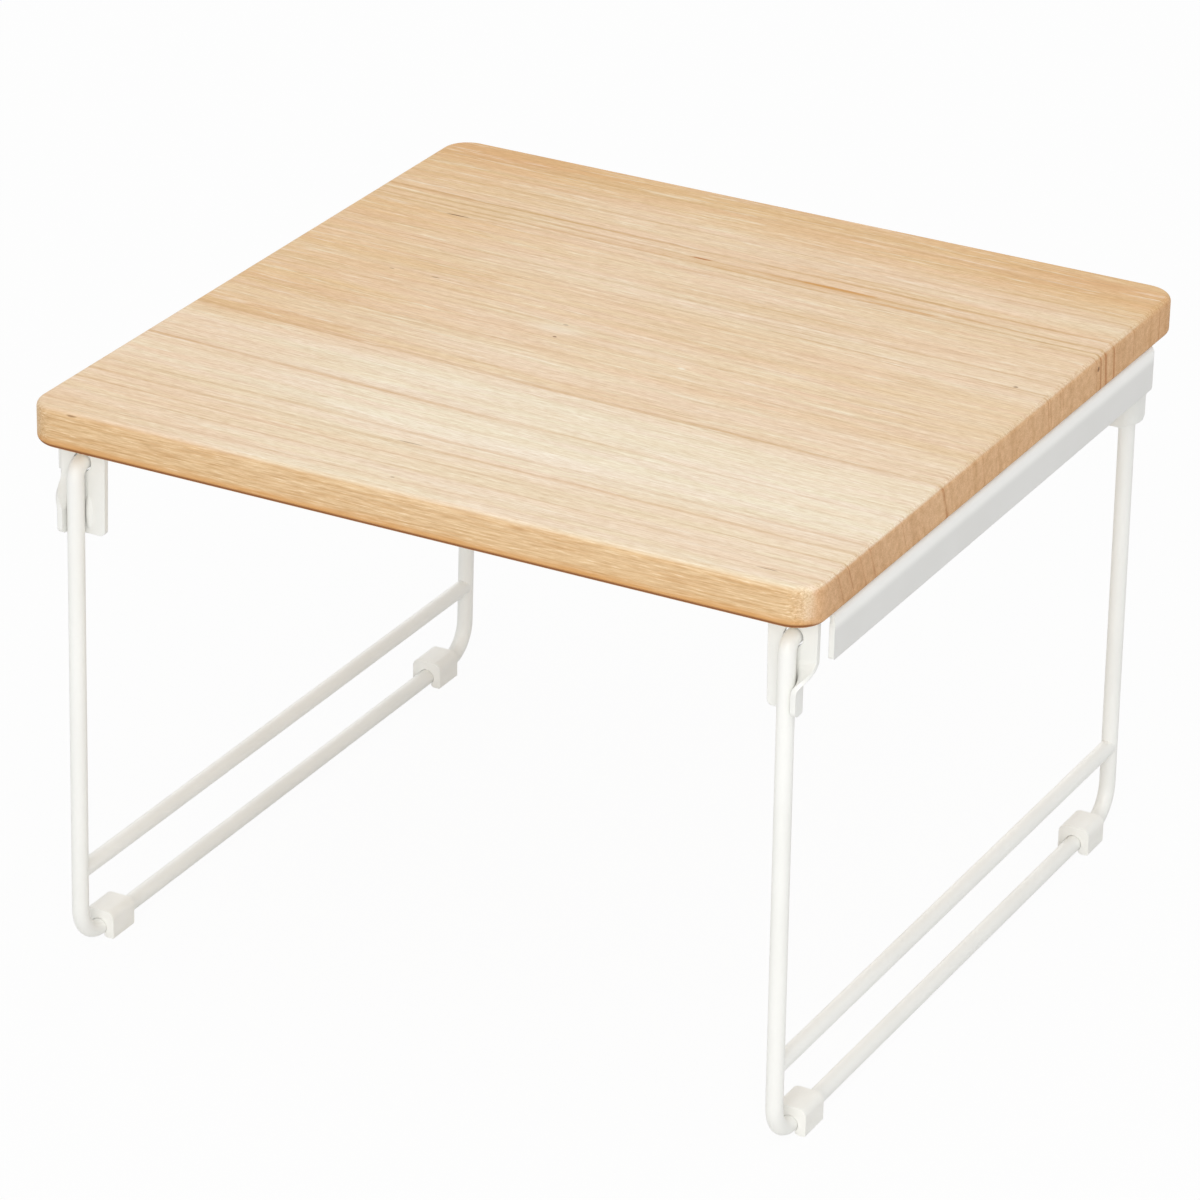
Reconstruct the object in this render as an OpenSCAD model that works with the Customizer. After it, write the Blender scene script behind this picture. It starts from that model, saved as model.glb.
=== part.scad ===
// Folding display riser: a square wooden board on two hinged wire legs.
// Each leg turns in a pressed steel bracket under a side of the board.
// Origin: on the floor under the middle of the board. X runs along the width,
// Y from front to back, Z up. All sizes are in millimetres.

/* [Board] */
// Width of the board, from side to side
board_w = 300; // [240:5:360]
// Depth of the board, from front to back
board_d = 300; // [240:5:360]
// Thickness of the board
board_t = 15; // [12.5:0.5:24]
// Radius of the four upright corners
board_corner_r = 11; // [5:0.5:25]
// Rounding along the top and bottom edges
board_edge_r = 2.5; // [1:0.25:4]
// Height of the board's top above the floor
riser_h = 214; // [190:1:260]

/* [Leg frames] */
// Diameter of the coated leg wire
wire_d = 6.1; // [5:0.1:7]
// Diameter of the coated crossbar wire
crossbar_d = 6; // [4:0.1:6.3]
// Distance from the board's side to the leg's pivot
pivot_inset = 13.4; // [12.8:0.1:16]
// Distance from the board's front and back to the middle of the upright wires
leg_inset = 10.7; // [10:0.1:40]
// Outward lean of an open leg
leg_splay = 0.55; // [0:0.05:1.5]
// Centreline radius of the bends at the floor
floor_bend_r = 12.5; // [8:0.5:16]
// Height of the crossbar above the bottom wire, centre to centre
crossbar_rise = 27.6; // [22:0.2:60]
// Length of wire that shows behind the hinge plate
journal_past = 4; // [2:0.5:7]
// Chamfer on the wire's cut end
journal_chamfer = 0.6; // [0.2:0.1:1]

/* [Hinge brackets] */
// Thickness of the coated sheet
sheet_t = 2; // [1.5:0.1:2.4]
// Inside radius of the sheet's square bends
sheet_bend_r = 1; // [0.6:0.1:2]
// Distance from the board's side to the face of the side rail
rail_inset = 0.8; // [0:0.1:3]
// Height of the side rail below the board
rail_drop = 17; // [12:0.5:24]
// Gap between the side rail's end and the middle of the upright wire
rail_end_gap = 8.8; // [8.4:0.1:20]
// Rounding of the rail's lower corners
rail_corner_r = 0.9; // [0.5:0.1:5]
// Width of the top flange, from the rail's face inwards
flange_w = 28; // [24:0.5:50]
// Width of a hinge plate
plate_w = 18.2; // [17.6:0.2:19]
// Offset of the plate's middle from the pivot, inwards
plate_offset = 0.3; // [0:0.1:0.6]
// Narrowing of the plate's inner edge towards its lower end
plate_taper_w = 0.7; // [0.1:0.1:1.5]
// Height of a hinge plate below the board
plate_drop = 36.2; // [34.6:0.2:44]
// Depth of the pivot below the board
pivot_drop = 9.6; // [8.4:0.1:10.5]
// Play around the wire in the pivot hole, on the radius
hole_play = 0.6; // [0.3:0.05:0.8]
// Space between the wire and the face of the hinge plate
wire_gap = 1.15; // [0.9:0.05:1.6]
// Rounding of the hinge plate's lower inner corner
plate_corner_r = 2; // [0.5:0.25:4]
// Rounding of the top flange's inner corners
flange_corner_r = 5; // [1:0.5:8]
// Diameter of the relief hole between plate and rail
relief_d = 2.6; // [1.5:0.1:3]

/* [Stop flange] */
// Depth below the board where the plate starts to turn forward
turn_start = 16.6; // [14.6:0.2:18]
// Height over which the plate turns into the stop flange
turn_h = 9.6; // [8:0.2:12]
// Amount trimmed off the turning edge half way round
turn_waist_w = 0.4; // [0:0.1:1.5]
// Inside radius of the turn, which cradles the wire
cradle_r = 3.5; // [2.8:0.1:4]
// Reach of the flange past the middle of the wire
stop_reach = 3.7; // [2:0.1:5]
// Play between the open leg and the stop flange
stop_play = 0.15; // [0.1:0.05:0.4]
// Amount by which the stop flange ends above the plate's lower edge
stop_lift = 1.4; // [0.5:0.1:4]
// Rounding of the stop flange's lower corner
stop_corner_r = 2.2; // [0.5:0.1:3]

/* [Detent] */
// Length of the embossed detent
detent_len = 13; // [9:0.5:16]
// Width of the embossed detent
detent_w = 3.4; // [2.4:0.1:4]
// Height of the embossed detent
detent_h = 0.85; // [0.5:0.05:0.85]
// Offset of the detent from the middle of the wire
detent_side = 2.3; // [1.8:0.1:3.5]
// Distance from the plate's lower edge to the end of the detent
detent_foot = 1.6; // [1:0.1:4]

/* [Screws] */
// Number of screws in each bracket
screw_count = 3; // [2:1:5]
// Diameter of a screw
screw_d = 3.5; // [2.5:0.1:4]
// Length of a screw under its head
screw_len = 11; // [8:0.5:12]
// Diameter of a screw head
head_d = 7; // [5.5:0.1:8]
// Height of a screw head
head_h = 2.1; // [1.5:0.1:2.6]
// Distance from the rail's end to the first screw
screw_end_gap = 22; // [15:1:40]

/* [Feet] */
// Width of a foot across the wire
foot_w = 12.2; // [11:0.1:15]
// Length of a foot along the wire
foot_len = 14; // [9:0.5:20]
// Height of a foot
foot_h = 10.6; // [9.8:0.1:13]
// Rounding of a foot's shoulders
foot_shoulder_r = 3; // [2:0.1:5]
// Outer rounding of the tips that stand on the floor
foot_tip_r = 0.6; // [0.3:0.1:0.9]
// Rounding that leads the wire into the slot of a foot
foot_lead_r = 1.4; // [0.5:0.1:1.6]
// Distance from the floor to the underside of the wire
foot_lift = 0.8; // [0.5:0.05:1.5]
// Play between the foot and the wire, on the radius
foot_play = 0.1; // [0.05:0.05:0.2]
// Width of the slot where the foot snaps over the wire
foot_mouth = 4.2; // [3.4:0.1:4.8]
// Gap from the end of the floor bend to a front foot
front_foot_gap = -0.6; // [-1:0.2:20]
// Gap from the end of the floor bend to a back foot
back_foot_gap = 3.8; // [-1:0.2:20]

/* [Hidden] */

$fn = 64;

// How far a cutting solid passes the face that it cuts
cut_past = 1;
// How far the bend of a rail or a plate runs into the top flange
root_lap = 2;

// Colours as in the photograph
wood = "burlywood";
coated_white = [0.95, 0.95, 0.93];
plastic_white = [0.92, 0.91, 0.88];
zinc = "silver";

// Derived places
wire_r = wire_d / 2;
crossbar_r = crossbar_d / 2;
underside_z = riser_h - board_t;
pivot_x = board_w / 2 - pivot_inset;
pivot_z = underside_z - pivot_drop;
wire_floor_z = foot_lift + wire_r;
leg_len = (pivot_z - wire_floor_z) / cos(leg_splay);
wire_y = board_d / 2 - leg_inset;
elbow_r = wire_r + wire_gap;
plate_y = wire_y - elbow_r;
foot_x = pivot_x + leg_len * sin(leg_splay);

// Derived bracket sizes
bend_out_r = sheet_bend_r + sheet_t;
rail_x = board_w / 2 - rail_inset;
flange_in_x = rail_x - flange_w;
flange_half = plate_y - bend_out_r;
rail_len = 2 * (wire_y - rail_end_gap);
hole_r = wire_r + hole_play;
plate_in_x = pivot_x - plate_w / 2 - plate_offset;
plate_out_x = plate_in_x + plate_w;
relief_x = rail_x - bend_out_r + relief_d / 4;
relief_y = (flange_half + rail_len / 2) / 2;

// The stop flange stands just outside the open wire, at the flange's lower end
stop_drop = plate_drop - stop_lift;
wire_lean = (stop_drop - pivot_drop) * tan(leg_splay);
stop_x = pivot_x + wire_lean + wire_r / cos(leg_splay) + stop_play;
turn_x = stop_x - cradle_r;
mid_r = cradle_r + sheet_t / 2;
flat_w = turn_x - plate_in_x;
stop_flat = elbow_r + stop_reach - cradle_r;
stop_developed_w = flat_w + mid_r * PI / 2 + stop_flat;

// The turned part of a hinge plate is a grid of rows down and stations across
turn_rows = 12;
turn_stations = 10;
turn_overlap = 0.5;

// Screw places along a bracket, in the middle of the flat of the top flange
screw_first = rail_len / 2 - screw_end_gap;
screw_pitch = 2 * screw_first / (screw_count - 1);
screw_ys = [for (i = [0 : screw_count - 1]) -screw_first + i * screw_pitch];
screw_x = (flange_in_x + rail_x - bend_out_r) / 2;
screw_hole_play = 0.4;
pilot_play = 0.05;
pilot_extra = 1;

// The left side is the mirror image of the right, and the back of the front
module on_left() {
    mirror([1, 0, 0]) children();
}

module at_front_and_back() {
    children();
    mirror([0, 1, 0]) children();
}

// Rectangle with round corners, from plain squares and circles
module round_rect(size, r) {
    square([size[0] - 2 * r, size[1]], center = true);
    square([size[0], size[1] - 2 * r], center = true);
    for (sx = [-1, 1], sy = [-1, 1])
        translate([sx * (size[0] / 2 - r), sy * (size[1] / 2 - r)]) circle(r);
}

// What a round corner takes away: the corner is at the origin,
// the material lies towards +x and +y
module corner_waste(r) {
    difference() {
        translate([-cut_past, -cut_past]) square(r + cut_past);
        translate([r, r]) circle(r);
    }
}

// Angle section of bent sheet: the outer corner is at the origin,
// the legs run towards -x and -y
module angle_section(across, down) {
    translate([-across, -sheet_t]) square([across - bend_out_r, sheet_t]);
    translate([-sheet_t, -down]) square([sheet_t, down - bend_out_r]);
    translate([-bend_out_r, -bend_out_r]) intersection() {
        difference() {
            circle(bend_out_r);
            circle(sheet_bend_r);
        }
        square(bend_out_r);
    }
}

// The board, with all its edges rounded
module board_blank() {
    inner_w = board_w - 2 * board_edge_r;
    inner_d = board_d - 2 * board_edge_r;
    inner_r = board_corner_r - board_edge_r;
    straight_w = board_w - 2 * board_corner_r;
    straight_d = board_d - 2 * board_corner_r;
    linear_extrude(board_t) round_rect([inner_w, inner_d], inner_r);
    translate([0, 0, board_edge_r])
        linear_extrude(board_t - 2 * board_edge_r)
            round_rect([board_w, board_d], board_corner_r);
    for (z = [board_edge_r, board_t - board_edge_r]) translate([0, 0, z]) {
        for (s = [-1, 1]) {
            translate([s * inner_w / 2, 0, 0]) rotate([90, 0, 0])
                cylinder(h = straight_d, r = board_edge_r, center = true);
            translate([0, s * inner_d / 2, 0]) rotate([0, 90, 0])
                cylinder(h = straight_w, r = board_edge_r, center = true);
        }
        for (sx = [-1, 1], sy = [-1, 1])
            translate([sx * straight_w / 2, sy * straight_d / 2, 0])
                rotate([0, 0, sx > 0 ? (sy > 0 ? 0 : -90) : (sy > 0 ? 90 : 180)])
                    rotate_extrude(angle = 90)
                        translate([inner_r, 0]) circle(board_edge_r, $fn = 32);
    }
}

module board() {
    color(wood) difference() {
        translate([0, 0, underside_z]) board_blank();
        for (sx = [-1, 1], y = screw_ys)
            translate([sx * screw_x, y, underside_z - cut_past])
                cylinder(h = screw_len - sheet_t + pilot_extra + cut_past,
                         r = screw_d / 2 + pilot_play);
    }
}

// Flat top flange, which lies against the board
module top_flange() {
    size_x = rail_x - bend_out_r - flange_in_x;
    r = flange_corner_r;
    inner_half = flange_half - r;
    translate([flange_in_x, 0, underside_z - sheet_t]) linear_extrude(sheet_t) {
        translate([r, -flange_half]) square([size_x - r, 2 * flange_half]);
        translate([0, -inner_half]) square([size_x, 2 * inner_half]);
        for (s = [-1, 1]) translate([r, s * inner_half]) circle(r);
    }
}

// Long rail down the outer side, with round lower corners
module side_rail() {
    difference() {
        translate([rail_x, 0, underside_z]) rotate([90, 0, 0])
            linear_extrude(rail_len, center = true)
                angle_section(bend_out_r + root_lap, rail_drop);
        at_front_and_back()
            translate([rail_x - sheet_t - cut_past, -rail_len / 2, underside_z - rail_drop])
                rotate([90, 0, 90]) linear_extrude(sheet_t + 2 * cut_past)
                    corner_waste(rail_corner_r);
    }
}

// Turning angle and developed width of the sheet at a depth below the board
function ease(t) = t * t * (3 - 2 * t);
function turn_share(depth) = ease(min(1, max(0, (depth - turn_start) / turn_h)));
function turn_angle(depth) = 90 * turn_share(depth);
function developed_w(depth) =
    let (share = turn_share(depth))
    plate_w + (stop_developed_w - plate_w) * share - 4 * turn_waist_w * share * (1 - share);

// Point of the sheet's middle layer at distance u from the plate's inner edge,
// in plan: x outwards, y away from the board's middle
function bent_point(u, angle) =
    let (arc = mid_r * angle * PI / 180, past = u - flat_w)
    past <= 0 ? [plate_in_x + u, 0]
    : past < arc ?
        let (a = past / mid_r * 180 / PI)
        [turn_x + mid_r * sin(a), mid_r * (1 - cos(a))]
    : [turn_x + mid_r * sin(angle) + (past - arc) * cos(angle),
       mid_r * (1 - cos(angle)) + (past - arc) * sin(angle)];

// Direction of the sheet's outer face there, away from the board's middle
function bent_normal(u, angle) =
    let (past = max(0, u - flat_w), a = min(angle, past / mid_r * 180 / PI))
    [-sin(a), cos(a)];

// One row of the turned plate: along the outer face and back along the inner
function turned_row(depth) =
    let (
        angle = turn_angle(depth),
        width = developed_w(depth),
        us = concat([0], [for (i = [0 : turn_stations])
            flat_w + (width - flat_w) * i / turn_stations]),
        last = len(us) - 1,
        mid_y = plate_y - sheet_t / 2,
        z = underside_z - depth
    )
    concat(
        [for (i = [0 : last])
            let (p = bent_point(us[i], angle), n = bent_normal(us[i], angle))
            [p[0] + n[0] * sheet_t / 2, -(mid_y + p[1] + n[1] * sheet_t / 2), z]],
        [for (i = [last : -1 : 0])
            let (p = bent_point(us[i], angle), n = bent_normal(us[i], angle))
            [p[0] - n[0] * sheet_t / 2, -(mid_y + p[1] - n[1] * sheet_t / 2), z]]
    );

// Lower part of a hinge plate, where the sheet turns into the stop flange
module turned_plate() {
    depths = concat(
        [turn_start - turn_overlap],
        [for (i = [0 : turn_rows]) turn_start + turn_h * i / turn_rows],
        [plate_drop]
    );
    rows = [for (d = depths) turned_row(d)];
    n = len(rows[0]);
    last = len(rows) - 1;
    points = [for (row = rows, p = row) p];
    sides = [for (i = [0 : last - 1], j = [0 : n - 1], half = [0, 1])
        let (a = i * n + j, b = i * n + (j + 1) % n, c = a + n, d = b + n)
        half == 0 ? [a, b, d] : [a, d, c]];
    stations = n / 2;
    caps = [for (row = [0, last], j = [0 : stations - 2], half = [0, 1])
        let (base = row * n, a = base + j, b = a + 1,
             d = base + n - 1 - j, c = d - 1,
             face = half == 0 ? [a, c, b] : [a, d, c])
        row == 0 ? face : [face[0], face[2], face[1]]];
    polyhedron(points, concat(sides, caps), convexity = 6);
}

// Spindle whose side, cut by a flat, gives the lens shape of the detent
module detent_spindle() {
    spindle_r = (pow(detent_w / 2, 2) + pow(detent_h, 2)) / (2 * detent_h);
    arc_r = (pow(detent_len / 2, 2) + pow(detent_h, 2)) / (2 * detent_h);
    half_angle = acos(1 - spindle_r / arc_r);
    steps = 12;
    translate([0, spindle_r - detent_h, 0]) rotate_extrude($fn = 48)
        polygon([for (i = [0 : steps])
            let (a = -half_angle + 2 * half_angle * i / steps)
            [i == 0 || i == steps ? 0 : spindle_r - arc_r * (1 - cos(a)), arc_r * sin(a)]]);
}

// Front hinge plate of the right-hand bracket
module hinge_plate() {
    detent_z = underside_z - plate_drop + detent_foot + detent_len / 2;
    difference() {
        union() {
            translate([plate_out_x, -plate_y, underside_z]) rotate([0, 0, -90])
                rotate([90, 0, 0]) linear_extrude(plate_w)
                    angle_section(bend_out_r + root_lap, turn_start);
            turned_plate();
            intersection() {
                translate([pivot_x - detent_side, -plate_y, detent_z]) detent_spindle();
                translate([plate_in_x, -plate_y - detent_h - cut_past, underside_z - plate_drop])
                    cube([plate_w, detent_h + cut_past + sheet_t / 2, plate_drop - turn_start]);
            }
        }
        translate([pivot_x - detent_side, -plate_y + sheet_t, detent_z]) detent_spindle();
        translate([pivot_x, sheet_t + cut_past - plate_y, pivot_z]) rotate([90, 0, 0])
            cylinder(h = sheet_t + 2 * cut_past, r = hole_r);
        plate_edge_trim();
        stop_trim();
    }
}

// Slants the plate's inner edge, and rounds the corner where it meets the lower edge
module plate_edge_trim() {
    r = plate_corner_r;
    edge_len = norm([plate_taper_w, plate_drop]);
    middle = [(r * edge_len + (plate_drop - r) * plate_taper_w) / plate_drop, r - plate_drop];
    corner = [plate_taper_w, -plate_drop];
    low_point = [middle[0], -plate_drop];
    side_point = middle - r * [plate_drop, plate_taper_w] / edge_len;
    translate([plate_in_x, sheet_t + cut_past - plate_y, underside_z])
        rotate([90, 0, 0]) linear_extrude(sheet_t + 2 * cut_past) difference() {
            union() {
                polygon([[-cut_past, 0], [0, 0], corner, low_point, low_point - [0, cut_past],
                         corner - [plate_taper_w + cut_past, cut_past]]);
                polygon([corner, low_point, middle, side_point]);
            }
            translate(middle) circle(r);
        }
}

// Raises the lower edge round the turn to the stop flange, and rounds the flange's corner
module stop_trim() {
    end_z = underside_z - plate_drop;
    low_z = underside_z - stop_drop;
    tip_y = -(wire_y + stop_reach);
    far_x = turn_x + plate_w;
    translate([0, sheet_t + cut_past - plate_y, 0]) rotate([90, 0, 0]) linear_extrude(plate_w)
        polygon([[turn_x, end_z], [turn_x + cradle_r, low_z], [far_x, low_z],
                 [far_x, end_z - cut_past], [turn_x, end_z - cut_past]]);
    translate([turn_x, tip_y, low_z]) rotate([90, 0, 90]) linear_extrude(plate_w)
        corner_waste(stop_corner_r);
}

// Right-hand bracket, one pressed piece
module bracket() {
    difference() {
        union() {
            top_flange();
            side_rail();
            at_front_and_back() hinge_plate();
        }
        for (y = screw_ys) translate([screw_x, y, underside_z - sheet_t - cut_past])
            cylinder(h = sheet_t + 2 * cut_past, r = screw_d / 2 + screw_hole_play);
        at_front_and_back()
            translate([relief_x, -relief_y, underside_z - bend_out_r - cut_past])
                cylinder(h = bend_out_r + 2 * cut_past, r = relief_d / 2);
    }
}

module left_bracket() {
    color(coated_white) on_left() bracket();
}

module right_bracket() {
    color(coated_white) bracket();
}

// Pan-head wood screws, driven up through the top flange
module bracket_screws() {
    for (y = screw_ys) translate([screw_x, y, underside_z - sheet_t]) {
        cylinder(h = screw_len, r = screw_d / 2);
        intersection() {
            translate([0, 0, -head_h]) cylinder(h = head_h, r = head_d / 2);
            translate([0, 0, head_d - head_h]) sphere(head_d);
        }
    }
}

module left_screws() {
    color(zinc) on_left() bracket_screws();
}

module right_screws() {
    color(zinc) bracket_screws();
}

// Places a leg that is drawn hanging from its pivot at the origin
module place_leg() {
    translate([pivot_x, 0, pivot_z]) rotate([0, -leg_splay, 0]) children();
}

// Quarter bend of wire in the YZ plane, from the +y axis to the +z axis
module wire_bend(bend_r, r) {
    rotate([90, 0, 90]) rotate_extrude(angle = 90)
        translate([bend_r, 0]) circle(r, $fn = 32);
}

// Front end of a leg: journal, elbow, upright and floor bend
module leg_end() {
    journal_len = sheet_t + journal_past;
    upright_len = leg_len - elbow_r - floor_bend_r;
    translate([0, -plate_y + journal_len - journal_chamfer, 0]) rotate([-90, 0, 0])
        cylinder(h = journal_chamfer, r1 = wire_r, r2 = wire_r - journal_chamfer);
    translate([0, -plate_y, 0]) rotate([-90, 0, 0])
        cylinder(h = journal_len - journal_chamfer, r = wire_r);
    translate([0, -plate_y, -elbow_r]) rotate([90, 0, 0]) wire_bend(elbow_r, wire_r);
    translate([0, -wire_y, -elbow_r - upright_len]) cylinder(h = upright_len, r = wire_r);
    translate([0, floor_bend_r - wire_y, floor_bend_r - leg_len]) rotate([180, 0, 0])
        wire_bend(floor_bend_r, wire_r);
}

module leg_wire() {
    place_leg() {
        at_front_and_back() leg_end();
        translate([0, 0, -leg_len]) rotate([90, 0, 0])
            cylinder(h = 2 * wire_y - 2 * floor_bend_r, r = wire_r, center = true);
    }
}

module left_leg_wire() {
    color(coated_white) on_left() leg_wire();
}

module right_leg_wire() {
    color(coated_white) leg_wire();
}

// Crossbar, with its ends cut to the round of the uprights
module crossbar() {
    place_leg() translate([0, 0, -leg_len + crossbar_rise]) difference() {
        rotate([90, 0, 0]) cylinder(h = 2 * wire_y, r = crossbar_r, center = true);
        at_front_and_back()
            translate([0, -wire_y, -wire_d]) cylinder(h = 2 * wire_d, r = wire_r);
    }
}

module left_crossbar() {
    color(coated_white) on_left() crossbar();
}

module right_crossbar() {
    color(coated_white) crossbar();
}

// Cross-section of a foot: a saddle over the wire, open towards the floor
module foot_section() {
    bore_r = wire_r + foot_play;
    difference() {
        union() {
            translate([-foot_w / 2, foot_tip_r])
                square([foot_w, foot_h - foot_shoulder_r - foot_tip_r]);
            translate([-foot_w / 2 + foot_tip_r, 0])
                square([foot_w - 2 * foot_tip_r, foot_h - foot_shoulder_r]);
            translate([-foot_w / 2 + foot_shoulder_r, 0])
                square([foot_w - 2 * foot_shoulder_r, foot_h]);
            for (s = [-1, 1]) {
                translate([s * (foot_w / 2 - foot_tip_r), foot_tip_r]) circle(foot_tip_r);
                translate([s * (foot_w / 2 - foot_shoulder_r), foot_h - foot_shoulder_r])
                    circle(foot_shoulder_r);
            }
        }
        translate([0, wire_floor_z]) circle(bore_r);
        translate([-foot_mouth / 2, -cut_past]) square([foot_mouth, wire_floor_z + cut_past]);
        for (s = [0, 1]) mirror([s, 0])
            translate([foot_mouth / 2, 0]) corner_waste(foot_lead_r);
    }
}

// Foot of the right-hand leg: end is -1 at the front and 1 at the back
module foot(end, gap) {
    y = wire_y - floor_bend_r - gap - foot_len / 2;
    translate([foot_x, end * y, 0]) rotate([90, 0, 0])
        linear_extrude(foot_len, center = true) foot_section();
}

module foot_front_left() {
    color(plastic_white) on_left() foot(-1, front_foot_gap);
}

module foot_back_left() {
    color(plastic_white) on_left() foot(1, back_foot_gap);
}

module foot_front_right() {
    color(plastic_white) foot(-1, front_foot_gap);
}

module foot_back_right() {
    color(plastic_white) foot(1, back_foot_gap);
}

board();
left_bracket();
right_bracket();
left_screws();
right_screws();
left_leg_wire();
right_leg_wire();
left_crossbar();
right_crossbar();
foot_front_left();
foot_back_left();
foot_front_right();
foot_back_right();
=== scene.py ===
"""Looks of a folding display riser: a wooden board on two hinged wire legs.

The solids that come with the frame keep their places and their shapes. Each
sub-assembly is a class that dresses its solids and builds the small pieces that
go with them. Lengths are in metres, but the finishes and the small pieces work in
millimetres.
"""

import logging
import math
from dataclasses import dataclass, field
from enum import Enum

import bmesh
import bpy
from mathutils import Matrix, Vector


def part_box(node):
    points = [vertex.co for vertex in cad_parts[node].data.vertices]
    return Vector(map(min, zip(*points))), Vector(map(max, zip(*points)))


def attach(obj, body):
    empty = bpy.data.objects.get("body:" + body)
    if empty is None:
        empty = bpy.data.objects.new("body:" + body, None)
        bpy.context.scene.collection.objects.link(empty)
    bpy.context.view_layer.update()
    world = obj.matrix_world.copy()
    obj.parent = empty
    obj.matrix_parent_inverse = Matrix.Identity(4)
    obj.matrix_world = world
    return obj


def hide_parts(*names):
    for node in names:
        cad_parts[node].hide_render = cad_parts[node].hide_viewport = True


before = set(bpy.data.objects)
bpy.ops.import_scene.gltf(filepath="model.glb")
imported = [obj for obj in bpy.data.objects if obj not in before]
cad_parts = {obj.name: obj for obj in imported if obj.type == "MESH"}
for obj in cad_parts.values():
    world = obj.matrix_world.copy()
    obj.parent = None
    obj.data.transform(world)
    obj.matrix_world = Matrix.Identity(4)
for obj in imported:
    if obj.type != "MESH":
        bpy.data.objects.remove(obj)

log = logging.getLogger("riser")

Socket = bpy.types.NodeSocket
Colour = tuple[float, float, float]
Range = tuple[float, float]
Fade = tuple[Range, Range]
Value = Socket | float
Material = bpy.types.Material
Shape = bmesh.types.BMesh
Point = bmesh.types.BMVert
Edge = bmesh.types.BMEdge
MM = 0.001
MERGE_MM = 0.002
NEAR_MM = 0.01
SHARP_DEGREES = 40
BLACK = (0.0, 0.0, 0.0)


def srgb(*channels: int) -> Colour:
    """Turns a colour as a screen shows it into linear light.

    Args:
        *channels: Red, green and blue, from 0 to 255.

    Returns:
        The same in linear light, from 0 to 1.
    """
    shares = (channel / 255 for channel in channels)
    return tuple(
        share / 12.92 if share <= 0.04045 else ((share + 0.055) / 1.055) ** 2.4
        for share in shares)


def points_in(parts: list[object]) -> list[Point]:
    """Picks the points out of the parts of a shape."""
    return [part for part in parts if isinstance(part, Point)]


class Side(Enum):
    """The two legs of the riser, by the side that they stand on."""

    LEFT = "left"
    RIGHT = "right"


class End(Enum):
    """The two ends of a leg."""

    FRONT = "front"
    BACK = "back"


class MarkTone(Enum):
    """Tones of the short marks in the wood, by the colour of the wood that they take."""

    BROWN = "fleck_colour"
    RUSSET = "russet_colour"
    GOLDEN = "golden_colour"
    PALE = "pale_colour"


@dataclass(frozen=True)
class Pattern:
    """A noise, which may be drawn out along one axis.

    Attributes:
        per_mm: Features a millimetre along x, y and z.
        detail: Octaves of finer noise.
        roughness: Share of each finer octave.
        shift: Moves the pattern, so that two noises differ.
        shows: Noise from which it begins to show, and at which it shows fully.
        most: How much of it shows there.
    """

    per_mm: tuple[float, float, float]
    detail: float
    roughness: float
    shift: float
    shows: Range = (0.0, 1.0)
    most: float = 1.0


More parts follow.
